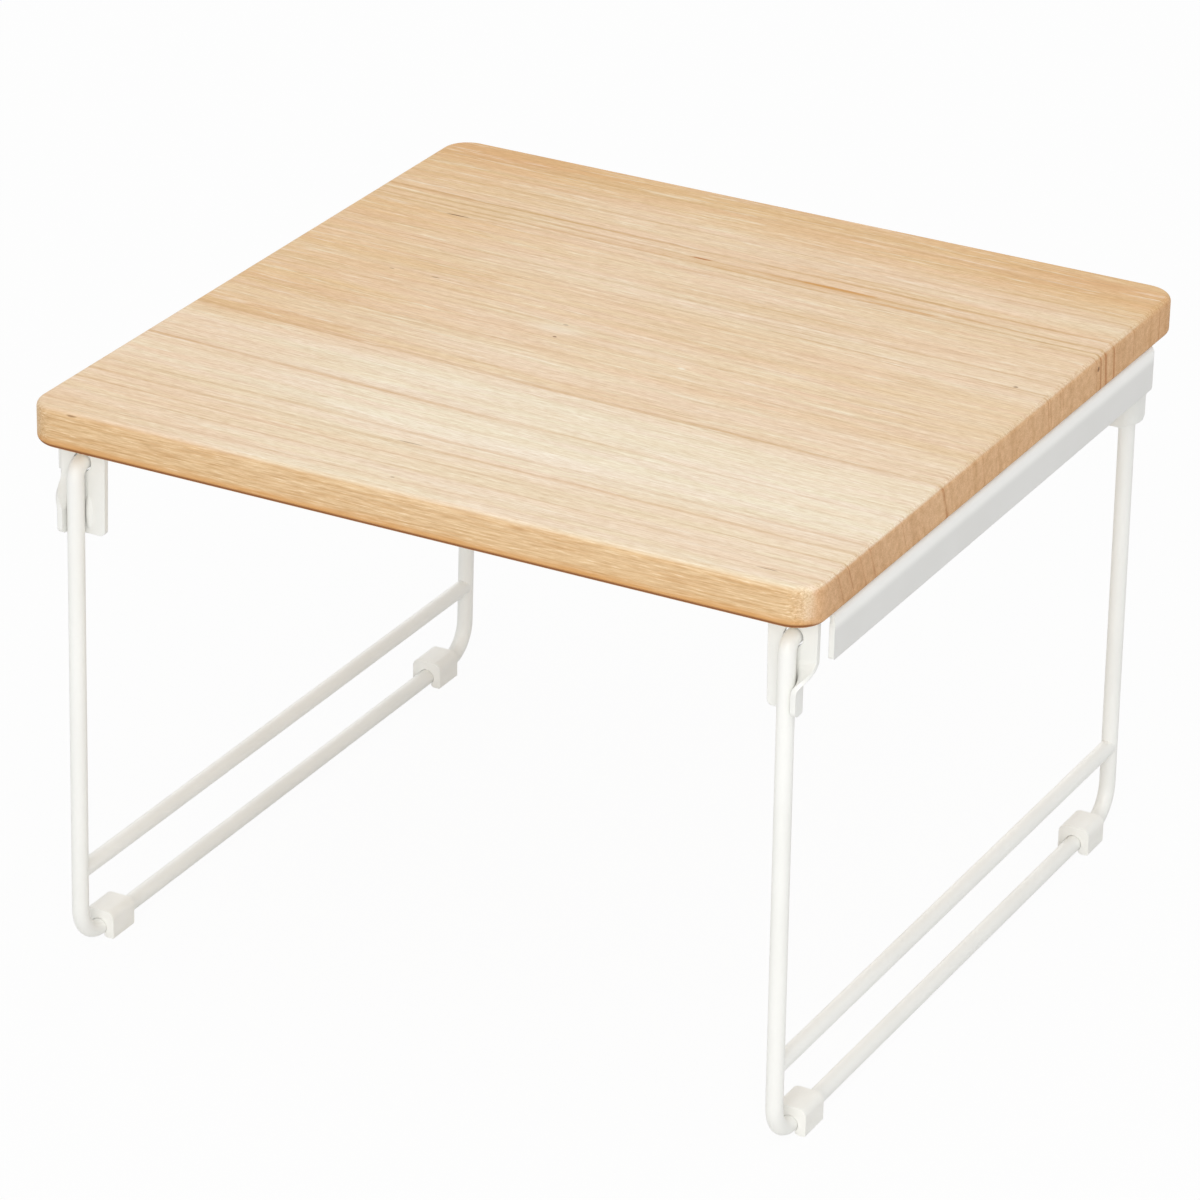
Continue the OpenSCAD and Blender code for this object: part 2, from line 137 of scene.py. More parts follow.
class NodeBench:
    """A node tree, with short calls for the nodes that it uses."""

    def __init__(self, tree: bpy.types.NodeTree) -> None:
        """Takes a node tree and clears it."""
        self.tree = tree
        self.tree.nodes.clear()

    def node(self, kind: str, *inputs: object, **settings: object) -> bpy.types.Node:
        """Adds a node.

        Args:
            kind: Blender's name for the kind of node, without ShaderNode.
            *inputs: Sockets or constants for its first inputs, in order.
            **settings: Properties to set on it.

        Returns:
            The new node.
        """
        made = self.tree.nodes.new("ShaderNode" + kind)
        for key, value in settings.items():
            setattr(made, key, value)
        for socket, value in zip(made.inputs, inputs):
            self.plug(socket, value)
        return made

    def plug(self, socket: Socket, value: object) -> None:
        """Links a socket, or sets its constant.

        Args:
            socket: Input to fill.
            value: A socket to link from, or a constant.
        """
        if isinstance(value, Socket):
            self.tree.links.new(value, socket)
        else:
            socket.default_value = value

    def split(self, vector: Socket) -> tuple[Socket, ...]:
        """Gives the x, y and z parts of a vector."""
        return tuple(self.node("SeparateXYZ", vector).outputs)

    def join(self, x: Value, y: Value, z: Value) -> Socket:
        """Makes a vector of three parts."""
        return self.node("CombineXYZ", x, y, z).outputs[0]

    def math(self, operation: str, *values: Value) -> Socket:
        """Gives the result of a Math node, its operation by Blender's name."""
        return self.node("Math", *values, operation=operation).outputs[0]

    def times(self, value: Value, factor: Value) -> Socket:
        """Multiplies two numbers."""
        return self.math("MULTIPLY", value, factor)

    def times_plus(self, value: Value, factor: Value, more: Value) -> Socket:
        """Multiplies two numbers and adds a third."""
        return self.math("MULTIPLY_ADD", value, factor, more)

    def vector(self, operation: str, *values: object) -> Socket:
        """Gives the result of a Vector Math node, its operation by Blender's name."""
        made = self.node("VectorMath", *values, operation=operation)
        return made.outputs["Value" if operation == "LENGTH" else "Vector"]

    def noise(self, place: Socket, pattern: Pattern) -> Socket:
        """Adds the noise of a pattern.

        Args:
            place: Place in millimetres.
            pattern: The pattern.

        Returns:
            The noise there, from 0 to 1.
        """
        shift = [pattern.shift * way for way in (1.0, 1.7, 0.6)]
        return self.node(
            "TexNoise", self.vector("MULTIPLY_ADD", place, pattern.per_mm, shift),
            0.0, 1.0, pattern.detail, pattern.roughness, noise_dimensions="3D").outputs["Fac"]

    def part(self, noise: Socket, pattern: Pattern) -> Socket:
        """Gives how much of a pattern shows, from its noise."""
        return self.remap(noise, pattern.shows, (0.0, pattern.most))

    def shown(self, place: Socket, pattern: Pattern) -> Socket:
        """Gives how much of a pattern shows at a place in millimetres."""
        return self.part(self.noise(place, pattern), pattern)

    def remap(self, value: Value, source: Range,
              target: Range = (0.0, 1.0), soft: bool = True) -> Socket:
        """Carries a value from one range to another, and stops at the ends, softly or not."""
        easing = "SMOOTHSTEP" if soft else "LINEAR"
        return self.node("MapRange", value, *source, *target, interpolation_type=easing).outputs[0]

    def mix(self, share: Value, under: Socket | Colour, over: Socket | Colour,
            blend: str = "MIX") -> Socket:
        """Mixes two colours.

        Args:
            share: How much of the second colour shows.
            under: First colour.
            over: Second colour.
            blend: Blend type, by Blender's name.

        Returns:
            The mixed colour.
        """
        made = self.node("Mix", share, data_type="RGBA", blend_type=blend)
        for socket, colour in zip(made.inputs[6:8], (under, over)):
            self.plug(socket, colour if isinstance(colour, Socket) else (*colour, 1.0))
        return made.outputs[2]

    def tinted(self, colour: Socket, tint: Socket | Colour) -> Socket:
        """Multiplies a colour by a tint."""
        return self.mix(1.0, colour, tint, "MULTIPLY")

    def ramp(self, value: Socket, stops: list[tuple[float, Colour]],
             blend: str = "LINEAR") -> Socket:
        """Looks a value up in a row of colours.

        Args:
            value: Place in the row, from 0 to 1.
            stops: Place and colour of each stop, in order.
            blend: Interpolation, by Blender's name.

        Returns:
            The colour there.
        """
        made = self.node("ValToRGB", value)
        row = made.color_ramp
        row.interpolation = blend
        while len(row.elements) < len(stops):
            row.elements.new(0.5)
        for element, (place, _) in zip(row.elements, stops):
            element.position = place
        for element, (_, colour) in zip(row.elements, stops):
            element.color = (*colour, 1.0)
        return made.outputs[0]

    def seen(self) -> Socket:
        """Tells rays that show a surface from rays that light one.

        Returns:
            1 for rays of the camera, of reflections and through clear surfaces, else 0.
        """
        path = self.node("LightPath").outputs
        seen = self.math("MAXIMUM", path["Is Camera Ray"], path["Is Glossy Ray"])
        return self.math("MAXIMUM", seen, path["Is Transmission Ray"])


class ShaderBench(NodeBench):
    """Node tree of one material, with its Principled shader."""

    def __init__(self, name: str) -> None:
        """Starts a material.

        Args:
            name: Name of the material.
        """
        self.material = bpy.data.materials.new(name)
        self.material.use_nodes = True
        super().__init__(self.material.node_tree)
        self.shader = self.node("BsdfPrincipled")
        self.output = self.node("OutputMaterial", self.shader.outputs[0])

    def place_mm(self) -> Socket:
        """Gives the place on the piece, in millimetres, as a vector."""
        place = self.node("TexCoord").outputs["Object"]
        return self.vector("MULTIPLY", place, (1 / MM,) * 3)

    def facing(self) -> tuple[Socket, ...]:
        """Gives the three parts of the surface's direction, in the piece's axes."""
        return self.split(self.node("TexCoord").outputs["Normal"])

    def bump(self, height: Socket, depth_mm: float, strength: float,
             edge_mm: float = 0.0) -> None:
        """Gives the shader a bump.

        Args:
            height: Height from 0 to 1.
            depth_mm: How deep the full height is.
            strength: Share of it that shows.
            edge_mm: Radius to which sharp edges are softened.
        """
        made = self.node("Bump")
        made.inputs["Strength"].default_value = strength
        made.inputs["Distance"].default_value = depth_mm * MM
        self.plug(made.inputs["Height"], height)
        if edge_mm > 0:
            edge = self.node("Bevel", edge_mm * MM, samples=8)
            self.plug(made.inputs["Normal"], edge.outputs[0])
        self.plug(self.shader.inputs["Normal"], made.outputs[0])

    def set(self, **values: object) -> Material:
        """Fills the shader's inputs, by name with a line for each space.

        Args:
            **values: Sockets or constants.

        Returns:
            The finished material.
        """
        for key, value in values.items():
            self.plug(self.shader.inputs[key.replace("_", " ")], value)
        return self.material


@dataclass(frozen=True)
class RingLine:
    """A growth line across the board's face, from side to side, in millimetres.

    Attributes:
        left: Its y at the board's left end.
        middle: Its y half way along.
        right: Its y at the right end.
        above: Width over which it fades towards the back.
        below: Width over which it fades towards the front.
        depth: How dark it is, from 0 to 1.
        start: x from which it shows.
        stop: x up to which it shows.
    """

    left: float
    middle: float
    right: float
    above: float
    below: float
    depth: float
    start: float = -200.0
    stop: float = 200.0

    @property
    def slope(self) -> float:
        """Change of y from the middle to the right end, without the bow."""
        return (self.right - self.left) / 2

    @property
    def bow(self) -> float:
        """How far both ends stand off a straight line through the middle."""
        return (self.right + self.left) / 2 - self.middle


@dataclass(frozen=True)
class GrainMark:
    """A short fleck or spot in the board, in millimetres, its length along the grain.

    Attributes:
        depth: How much it shows, from 0 to 1.
        drop: How far it lies below the top face.
    """

    x: float
    y: float
    length: float
    width: float
    depth: float
    tone: MarkTone = MarkTone.BROWN
    drop: float = 0.0

    @property
    def scale(self) -> tuple[float, float, float]:
        """Turns millimetres from its middle into shares of its half size."""
        return 2 / self.length, 2 / self.width, 2 / self.width if self.drop else 0.4

    @property
    def edge(self) -> Range:
        """Where it begins to fade and where it ends, in shares of its half size."""
        return (0.5, 1.7) if self.tone is MarkTone.PALE or self.width > 3 else (0.9, 1.5)


@dataclass(frozen=True)
class WoodFinish:
    """Bare sanded pale wood, with the grain along x.

    Growth rings cross the board from side to side. Their place is worked out
    once for the whole solid, so the ends show the same rings as the top. The
    patterns are named for what they draw, and places are in millimetres. A Fade
    gives the values between which a thing sets in, and its shares at both. A turn
    is how far the surface faces an end, a side or the floor.
    """

    name: str = "bare_pale_wood"
    half_width: float = 150.0
    top_z: float = 214.0
    # Painted shade on the lower rounding: a warm band, and a dark painted shadow line at the edge.
    painted_low_shade: Fade = ((205.2, 201.6), (0.0, 0.8))
    painted_edge_shadow: Fade = ((201.3, 200.3), (0.0, 0.86))
    ragged_edge_reach: float = 2.2
    ragged_mark_reach: float = 0.8
    drift: float = 0.038
    drift_loss: float = 0.026
    lean: float = 0.25
    lean_change: float = -0.0018
    wander_reach: float = 3.0
    line_reach: float = 12.0
    run_out: float = 30.0
    line_tone: Range = (0.15, 0.45)
    line_fading: Fade = ((0.3, 0.6), (0.5, 1.0))
    busy: Fade = ((-62, -40), (0.6, 1.0))
    dense_from: Range = (50, 66)
    dense_to: Range = (92, 98)
    dense_loss: float = 0.1
    left_warmth: Fade = ((-150, -30), (0.24, 0.0))
    band_warmth: Fade = ((0.3, 0.7), (-0.14, 0.14))
    corner_x: Range = (-10, 120)
    corner_y: Range = (112, 126)
    corner_warmth: float = 0.14
    wisp_turn: Fade = ((0.1, 0.4), (0.5, 0.0))
    side_turn: Fade = ((0.4, 0.97), (0.0, 0.87))
    under_turn: Range = (-0.995, -0.93)
    upright_turn: Fade = ((-0.85, -0.55), (0.2, 1.0))
    end_turn: Fade = ((0.66, 0.94), (0.0, 0.92))
    speckle_turn: Range = (0.1, 0.5)
    end_pore_turn: Range = (0.15, 0.6)
    end_rings: Fade = ((0.30, 0.56), (0.0, 0.8))
    # Painted shade: the end grain darkens towards the front.
    painted_end_shade: Fade = ((-130, -30), (1.0, 0.0))
    lit_range: Range = (0.3, 0.7)
    lit_channels: Colour = (0.7, 1.0, 1.4)
    fibre_contrast: float = 0.10
    strand_contrast: float = 0.12
    side_contrast: float = 0.28
    end_contrast: float = 0.15
    speckle_contrast: float = 0.2
    relief: Range = (0.06, 0.4)
    dull: Range = (0.14, 0.6)
    specular: float = 0.15
    wander: Pattern = Pattern((0.010, 0.018, 0.012), 3.0, 0.5, 7.7)
    bands: Pattern = Pattern((0.004, 0.10, 0.03), 3.0, 0.6, 3.1)
    fading: Pattern = Pattern((0.015, 0.10, 0.05), 2.0, 0.5, 2.2)
    fine_lines: tuple[Pattern, ...] = (
        Pattern((0.008, 0.30, 0.01), 2.0, 0.55, 1.3, (0.46, 0.74), 0.28),
        Pattern((0.016, 0.9, 0.03), 2.0, 0.55, 2.8, (0.46, 0.74), 0.34))
    wisps: Pattern = Pattern((0.035, 0.6, 0.3), 3.0, 0.65, 8.3, (0.53, 0.73))
    hue: Pattern = Pattern((0.014, 0.16, 0.05), 3.0, 0.6, 5.9, (0.36, 0.64))
    fibre: Pattern = Pattern((0.05, 1.7, 1.7), 3.0, 0.65, 5.2)
    strands: Pattern = Pattern((0.26, 1.5, 1.5), 3.0, 0.65, 7.1)
    pores: Pattern = Pattern((0.12, 2.4, 2.4), 1.0, 0.4, 9.4, (0.64, 0.78), 0.36)
    ragged_marks: Pattern = Pattern((0.3, 1.2, 1.2), 2.0, 0.6, 4.4)
    side_streaks: Pattern = Pattern((0.035, 1.3, 1.3), 3.0, 0.7, 6.9, (0.42, 0.66), 0.8)
    side_fibres: Pattern = Pattern((0.12, 1.7, 1.7), 3.0, 0.7, 2.4, (0.58, 0.76), 0.45)
    ragged_edge: Pattern = Pattern((0.05, 0.6, 0.6), 2.0, 0.6, 9.9)
    end_cut: Pattern = Pattern((0.02, 0.22, 0.0), 2.0, 0.5, 6.5, (0.44, 0.70), 0.6)
    end_mottling: Pattern = Pattern((0.2, 0.35, 0.35), 3.0, 0.65, 1.9)
    end_dots: Pattern = Pattern((1.0, 1.9, 1.9), 3.0, 0.7, 8.1, (0.60, 0.75), 0.3)
    hue_tints: tuple[Colour, Colour] = ((1.01, 0.988, 1.0), (0.995, 1.004, 0.97))
    # Tint of the painted shade on the end grain towards the front.
    painted_end_shade_tint: Colour = (0.935, 0.905, 0.88)
    cream: Colour = srgb(243, 231, 209)
    straw: Colour = srgb(234, 207, 174)
    tan: Colour = srgb(227, 191, 145)
    amber: Colour = srgb(220, 176, 125)
    line_colour: Colour = srgb(204, 164, 112)
    faint_line_colour: Colour = srgb(206, 169, 131)
    fleck_colour: Colour = srgb(124, 82, 46)
    russet_colour: Colour = srgb(186, 122, 74)
    golden_colour: Colour = srgb(206, 148, 74)
    pale_colour: Colour = srgb(247, 237, 217)
    end_colour: Colour = srgb(223, 179, 134)
    end_shade: Colour = srgb(208, 161, 114)
    side_colour: Colour = srgb(221, 187, 142)
    side_shade: Colour = srgb(203, 158, 104)
    # Colours of the painted shade on the lower rounding and of its painted shadow line.
    painted_low_shade_colour: Colour = srgb(213, 155, 90)
    painted_edge_shadow_colour: Colour = srgb(122, 66, 32)
    warmth: tuple[Range, ...] = (
        (-150, 0.30), (-140, 0.26), (-125, 0.26), (-113, 0.28), (-104, 0.20), (-96, 0.00),
        (-86, 0.16), (-70, 0.12), (-58, 0.16), (-49, 0.26), (-44, 0.42), (-33, 0.38),
        (-20, 0.48), (-8, 0.42), (5, 0.48), (48, 0.46), (60, 0.49), (70, 0.49), (80, 0.46),
        (88, 0.48), (94, 0.50), (98, 0.49), (112, 0.54), (126, 0.62), (133, 0.76), (150, 0.78),
    )
    lines: tuple[RingLine, ...] = tuple(RingLine(*line) for line in (
        (135.5, 133.5, 131, 1.8, 1.2, 0.50),
        (112.5, 109.7, 108, 1.4, 1.0, 0.38),
        (96.0, 93.6, 90.3, 1.0, 1.6, 0.80),
        (90.7, 86.8, 82.8, 1.6, 1.4, 0.72),
        (86.3, 82.2, 78.6, 1.2, 1.2, 0.62),
        (83.7, 78.5, 75.0, 1.1, 1.1, 0.45),
        (79.9, 75.2, 71.8, 1.1, 1.1, 0.20),
        (61.5, 57.5, 54.0, 1.2, 1.0, 0.28),
        (53.0, 49.5, 45.5, 1.2, 1.0, 0.40),
        (45.0, 39.2, 35.0, 1.3, 0.9, 0.44),
        (10.5, 5, 3, 1.0, 1.0, 0.44, -200, 10),
        (-10, -13.5, -17, 1.4, 1.0, 0.12),
        (-16, -19, -21, 1.2, 0.9, 0.28),
        (-40.5, -47.2, -52.5, 2.6, 1.6, 0.58),
        (-73, -79.5, -84, 2.6, 2.0, 0.54, -200, -10),
        (-73, -79.3, -84, 1.0, 0.8, 0.44, 0),
        (-102, -104.6, -108.5, 2.0, 1.5, 0.40),
        (-111.5, -113.5, -116, 1.8, 1.5, 0.42),
        (-120, -122.5, -124.5, 1.1, 0.9, 0.50),
        (-129, -131, -132.5, 0.9, 0.7, 0.40),
        (-141, -141, -140, 1.2, 0.8, 0.28),
    ))
    marks: tuple[GrainMark, ...] = tuple(GrainMark(*mark) for mark in (
        (-109, 78.3, 12, 0.8, 1.0),
        (-12, 86.8, 10, 1.4, 1.0, MarkTone.RUSSET),
        (44, 85.9, 40, 2.1, 0.8, MarkTone.GOLDEN),
        (72, 81.0, 44, 1.7, 0.55, MarkTone.GOLDEN),
        (-104, 20.7, 2.6, 0.8, 0.5),
        (-86, 21.2, 4.0, 0.8, 0.6),
        (-24.5, 6, 2.4, 1.2, 0.4),
        (-22.7, -5.5, 1.7, 1.2, 0.85),
        (136, 37, 2.1, 1.9, 0.6),
        (-19, -112, 11, 0.6, 0.6),
        (129, -140.5, 8, 0.6, 0.7),
        (-131, -149.5, 5, 0.6, 0.6),
        (-11, -139.5, 2, 0.9, 0.5),
        (-25, 1, 26, 8, 0.45, MarkTone.PALE),
        (29, -8, 4, 2.2, 0.9, MarkTone.PALE),
        (12, -2, 44, 6, 0.25, MarkTone.PALE),
        (150, 77, 2.6, 2.2, 0.8, MarkTone.BROWN, 4.8),
        (20, 84, 200, 8, 0.3, MarkTone.GOLDEN),
    ))


class WoodBench(ShaderBench):
    """Draws the wood in layers, one over another.

    Attributes:
        place: Place in millimetres, with x along the grain and z for its height.
        across: Place across the growth rings, which lean and wander.
        ring: The same place, carried along the rings to the middle of the board.
        along: Place that follows the rings.
        lines: How strongly a growth line shows, from 0 to 1.
        colour: Colour of the wood so far.
    """

    def __init__(self, wood: WoodFinish) -> None:
        """Starts the material and works out the places that the layers share.

        Args:
            wood: The finish that it draws.
        """
        super().__init__(wood.name)
        self.wood = wood
        self.facing_x, self.facing_y, self.facing_z = self.facing()
        self.place = self.place_mm()
        self.x, y, self.z = self.split(self.place)
        depth = self.math("SUBTRACT", self.z, wood.top_z)
        lean = self.times_plus(y, wood.lean_change, wood.lean)
        leaned = self.times_plus(depth, lean, y)
        wander = self.math("SUBTRACT", self.noise(self.place, wood.wander), 0.5)
        self.across = self.times_plus(wander, wood.wander_reach, leaned)
        share = self.math("POWER", self.times(self.across, 1 / wood.half_width), 2.0)
        drift = self.times_plus(share, -wood.drift_loss, wood.drift)
        self.ring = self.times_plus(self.x, drift, self.across)
        self.along = self.join(self.x, self.ring, self.z)
        self.lines: Value = 0.0
        self.colour = self.ground()

    def cover(self, share: Value, over: Socket | Colour) -> None:
        """Covers the colour so far with another, by a share."""
        self.colour = self.mix(share, self.colour, over)

    def lit(self, colour: Socket, noise: Socket, reach: float) -> Socket:
        """Lightens and darkens a colour by a noise.

        Args:
            colour: The colour.
            noise: The noise, from 0 to 1.
            reach: Largest change of its green. Red changes less and blue more.

        Returns:
            The new colour.
        """
        channels = self.wood.lit_channels
        dark, light = (tuple(1 + part * by for part in channels) for by in (-reach, reach))
        share = self.remap(noise, self.wood.lit_range, soft=False)
        return self.tinted(colour, self.mix(share, dark, light))

    def build(self) -> Material:
        """Lays every layer.

        Returns:
            The material.
        """
        wood = self.wood
        self.draw_ring_lines()
        self.draw_fine_lines()
        self.cover(self.lines, self.mix(
            self.remap(self.lines, wood.line_tone), wood.faint_line_colour, wood.line_colour))
        inside = self.remap(self.math("ABSOLUTE", self.facing_x), *wood.wisp_turn)
        wisps = self.times(self.shown(self.along, wood.wisps), inside)
        self.cover(wisps, wood.pale_colour)
        hue = self.mix(self.shown(self.along, wood.hue), *wood.hue_tints)
        self.colour = self.tinted(self.colour, hue)
        fibre = self.noise(self.along, wood.fibre)
        self.colour = self.lit(self.colour, fibre, wood.fibre_contrast)
        strands = self.noise(self.along, wood.strands)
        self.colour = self.lit(self.colour, strands, wood.strand_contrast)
        pores = self.shown(self.along, wood.pores)
        self.cover(pores, wood.line_colour)
        self.dress_sides()
        # Paints shade and a shadow line on the lower edge.
        self.paint_low_edge_shade()
        self.dress_ends()
        self.add_marks()
        self.bump(self.math("SUBTRACT", strands, pores), *wood.relief)
        return self.set(
            Base_Color=self.colour, Roughness=self.times_plus(fibre, *wood.dull),
            Specular_IOR_Level=wood.specular)

    def ground(self) -> Socket:
        """Lays the broad light and dark bands.

        Returns:
            The colour of the bands.
        """
        wood, scale = self.wood, 0.5 / self.wood.half_width
        warm = self.ramp(
            self.times_plus(self.ring, scale, 0.5),
            [(0.5 + scale * at, (share,) * 3) for at, share in wood.warmth])
        warm = self.math("ADD", warm, self.remap(self.x, *wood.left_warmth))
        corner = self.times(
            self.remap(self.x, wood.corner_x), self.remap(self.ring, wood.corner_y))
        warm = self.times_plus(corner, wood.corner_warmth, warm)
        bands = self.noise(self.along, wood.bands)
        warm = self.math("ADD", warm, self.remap(bands, *wood.band_warmth, soft=False))
        return self.ramp(
            warm, [(0.0, wood.cream), (0.5, wood.straw), (0.8, wood.tan), (1.0, wood.amber)])

    def draw_ring_lines(self) -> None:
        """Draws the main growth lines."""
        wood, scale = self.wood, 0.5 / self.wood.line_reach
        share = self.times(self.x, 1 / wood.half_width)
        squared = self.times(share, share)
        for line in wood.lines:
            offset = self.times_plus(share, -line.slope, self.across)
            offset = self.times_plus(squared, -line.bow, offset)
            mask = self.ramp(
                self.times_plus(offset, scale, 0.5 - scale * line.middle),
                [(0.5 - scale * line.below, BLACK), (0.5, (line.depth,) * 3),
                 (0.5 + scale * line.above, BLACK)], "EASE")
            for end, way in ((line.start, 1), (line.stop, -1)):
                if abs(end) < wood.half_width:
                    fade = self.remap(self.x, (end - way * wood.run_out, end + way * wood.run_out))
                    mask = self.times(mask, fade)
            self.lines = self.math("MAXIMUM", self.lines, mask)
        fading = self.remap(self.noise(self.place, wood.fading), *wood.line_fading)
        self.lines = self.times(self.lines, fading)

    def draw_fine_lines(self) -> None:
        """Adds the many fine lines between the main ones."""
        wood = self.wood
        dense = self.times(
            self.remap(self.ring, wood.dense_from),
            self.remap(self.ring, wood.dense_to, (1.0, 0.0)))
        busy = self.remap(self.ring, *wood.busy)
        busy = self.times_plus(dense, -wood.dense_loss, busy)
        for pattern in wood.fine_lines:
            fine = self.times(self.shown(self.along, pattern), busy)
            left = self.math("SUBTRACT", 1.0, self.lines)
            self.lines = self.times_plus(fine, left, self.lines)

    def dress_sides(self) -> None:
        """Warms the front and back faces."""
        wood = self.wood
        streaks = self.shown(self.place, wood.side_streaks)
        fibres = self.noise(self.place, wood.side_fibres)
        side = self.mix(streaks, wood.side_colour, wood.side_shade)
        side = self.lit(side, fibres, wood.side_contrast)
        side = self.mix(self.part(fibres, wood.side_fibres), side, wood.pale_colour)
        turned = self.math("ABSOLUTE", self.facing_y)
        self.cover(self.remap(turned, *wood.side_turn), side)

    def paint_low_edge_shade(self) -> None:
        """Paints shade on the lower rounding as a warm band, down to a painted dark shadow line
        along the edge.
        """
        wood = self.wood
        rounded = self.remap(self.facing_z, wood.under_turn)
        ragged = self.noise(self.along, wood.ragged_edge)
        height = self.times_plus(ragged, wood.ragged_edge_reach, self.z)
        # Painted shade: a warm band on the lower rounding, with a ragged top.
        low = self.remap(height, *wood.painted_low_shade)
        self.cover(self.times(low, rounded), wood.painted_low_shade_colour)
        # Painted shadow: a dark line along the lowest part of the rounding.
        last = self.remap(self.z, *wood.painted_edge_shadow)
        upright = self.remap(self.facing_z, *wood.upright_turn)
        upright = self.times(upright, rounded)
        self.cover(self.times(last, upright), wood.painted_edge_shadow_colour)

    def dress_ends(self) -> None:
        """Lays the end grain, where the same rings show stronger between open pores, with painted
        shade towards the front.
        """
        wood = self.wood
        cut = self.shown(self.join(self.z, self.ring, self.z), wood.end_cut)
        grain = self.mix(cut, wood.end_colour, wood.end_shade)
        deep = self.remap(self.lines, *wood.end_rings, soft=False)
        grain = self.mix(deep, grain, wood.russet_colour)
        grain = self.lit(grain, self.noise(self.place, wood.end_mottling), wood.end_contrast)
        # Painted shade: darkens the end grain towards the front.
        front = self.remap(self.ring, *wood.painted_end_shade)
        grain = self.mix(front, grain, self.tinted(grain, wood.painted_end_shade_tint))
        turned = self.math("ABSOLUTE", self.facing_x)
        self.cover(self.remap(turned, *wood.end_turn), grain)
        dots = self.noise(self.place, wood.end_dots)
        centred = self.math("SUBTRACT", dots, 0.5)
        speckle = self.times_plus(self.remap(turned, wood.speckle_turn), centred, 0.5)
        self.colour = self.lit(self.colour, speckle, wood.speckle_contrast)
        pores = self.times(self.remap(turned, wood.end_pore_turn), self.part(dots, wood.end_dots))
        self.cover(pores, wood.fleck_colour)

    def add_marks(self) -> None:
        """Adds the flecks and spots."""
        wood = self.wood
        ragged = self.noise(self.place, wood.ragged_marks)
        for mark in wood.marks:
            away = self.vector("SUBTRACT", self.place, (mark.x, mark.y, wood.top_z - mark.drop))
            size = self.vector("LENGTH", self.vector("MULTIPLY", away, mark.scale))
            rough = self.times_plus(ragged, wood.ragged_mark_reach, size)
            share = self.remap(rough, mark.edge, (mark.depth, 0.0))
            self.cover(share, getattr(wood, mark.tone.value))


@dataclass(frozen=True)
class SmoothFinish:
    """A smooth finish: clouds of a second shade over a fine grain in relief.

    Attributes:
        shade: Colour of the clouds.
        relief: Depth of the grain in mm, and the share of it that shows.
        dull: How much the clouds roughen the surface, and its least roughness.
        rough_grain: Roughens it by the grain instead of the clouds.
        edge_mm: Radius to which sharp edges are softened.
    """

    name: str
    colour: Colour
    shade: Colour
    clouds: Pattern
    grain: Pattern
    relief: Range
    dull: Range
    specular: float = 0.5
    metallic: float = 0.0
    rough_grain: bool = False
    edge_mm: float = 0.0

    def material(self) -> Material:
        """Builds the finish.

        Returns:
            The material.
        """
        bench = ShaderBench(self.name)
        place = bench.place_mm()
        clouds, grain = bench.noise(place, self.clouds), bench.noise(place, self.grain)
        colour = bench.mix(bench.part(clouds, self.clouds), self.colour, self.shade)
        colour = self.with_details(bench, place, colour)
        bench.bump(grain, *self.relief, self.edge_mm)
        roughness = bench.times_plus(grain if self.rough_grain else clouds, *self.dull)
        return bench.set(
            Base_Color=colour, Roughness=roughness, Specular_IOR_Level=self.specular,
            Metallic=self.metallic)

    def with_details(self, bench: ShaderBench, place: Socket, colour: Socket) -> Socket:
        """Adds what only this finish has, which is nothing here."""
        return colour


@dataclass(frozen=True)
class PowderCoat(SmoothFinish):
    """White powder coat on steel, with an orange peel and small specks.

    Attributes:
        rail: Paints a highlight on the bend of a bracket's rail and paints shade on the flat below
            it.
        rail_x: Distance from the middle at which the rail's outside begins, in mm.
        bend_z: Heights between which the bend sets in, in mm.
    """

    clouds: Pattern = Pattern((0.03, 0.03, 0.03), 2.0, 0.5, 1.1, (0.35, 0.7), 0.35)
    grain: Pattern = Pattern((0.75, 0.75, 0.75), 2.0, 0.45, 4.9)
    relief: Range = (0.02, 0.35)
    dull: Range = (0.1, 0.36)
    specks: Pattern = Pattern((1.4, 1.4, 1.4), 1.0, 0.5, 2.6, (0.7, 0.78), 0.25)
    # Painted light on the rail: a highlight on its bend and shade on the flat below it.
    rail: bool = False
    rail_x: Range = (147.3, 147.9)
    rail_turn: Range = (0.2, 0.6)
    bend_z: Range = (191.6, 195.2)
    # Tints of the painted shade on the rail's flat and of the painted highlight on its bend.
    painted_shade_tint: Colour = (0.905, 0.90, 0.91)
    painted_highlight_tint: Colour = (1.13, 1.13, 1.14)

    def with_details(self, bench: ShaderBench, place: Socket, colour: Socket) -> Socket:
        """Adds the specks, and on a rail a painted highlight on the bend and painted shade on the
        flat below it.

        Args:
            bench: Node tree to add to.
            place: Place in millimetres.
            colour: Colour of the coat so far.

        Returns:
            The whole colour.
        """
        colour = bench.mix(bench.shown(place, self.specks), colour, self.shade)
        if not self.rail:
            return colour
        # Painted highlight on the rail's bend, painted shade on the flat below it.
        x, _, z = bench.split(place)
        outer = bench.remap(bench.math("ABSOLUTE", x), self.rail_x)
        turned = bench.remap(bench.math("ABSOLUTE", bench.facing()[0]), self.rail_turn)
        tint = bench.mix(bench.remap(z, self.bend_z), self.painted_shade_tint, self.painted_highlight_tint)
        return bench.mix(bench.times(outer, turned), colour, bench.tinted(colour, tint))


